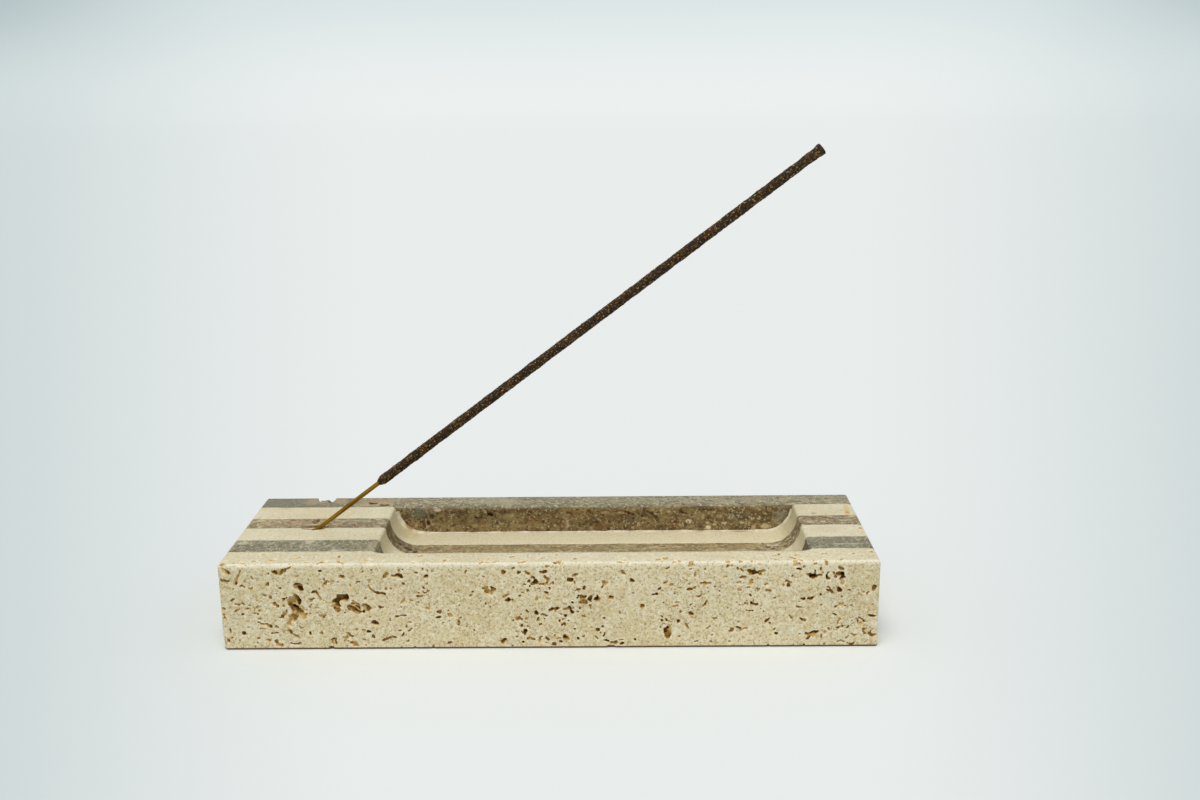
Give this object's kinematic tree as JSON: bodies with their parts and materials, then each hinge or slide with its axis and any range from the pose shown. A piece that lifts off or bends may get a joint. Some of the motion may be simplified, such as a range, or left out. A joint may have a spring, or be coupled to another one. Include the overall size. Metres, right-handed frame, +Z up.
{
  "type": "incense holder",
  "caption": "Laminated stone incense holder: a low striped block with a sunken ash tray and a slanted hole that holds an incense stick leaning over the tray.",
  "frame": {"origin": "middle of the block's underside, on the surface it stands on", "axes": "+X along the block towards the tip of the stick, -Y the pitted long face, +Z up"},
  "size_m": [0.2, 0.06, 0.1487],
  "materials": {
    "cream_stone": "honed travertine with open natural pits",
    "grey_stone": "honed grey brown travertine, finely speckled",
    "stone_glue": "cured pale stone adhesive",
    "bamboo": "bare split bamboo, lightly fibrous",
    "incense_paste": "rough hand rolled incense paste, dark brown with lighter specks"
  },
  "bodies": {
    "block": {"strip_1_grey_back": "grey_stone", "strip_2_cream": "cream_stone", "strip_3_grey": "grey_stone", "strip_4_cream": "cream_stone", "strip_5_grey": "grey_stone", "strip_6_cream_front": "cream_stone", "glue_line_1_2": "stone_glue", "glue_line_2_3": "stone_glue", "glue_line_3_4": "stone_glue", "glue_line_4_5": "stone_glue", "glue_line_5_6": "stone_glue"},
    "stick": {"bamboo_core": "bamboo", "incense_coating": "incense_paste"}
  },
  "joints": [
    {"name": "stick_slide", "type": "slide", "parent": "block", "child": "stick", "axis": [0.7986, 0, 0.6018], "range_m": [0, 0.018]}
  ]
}
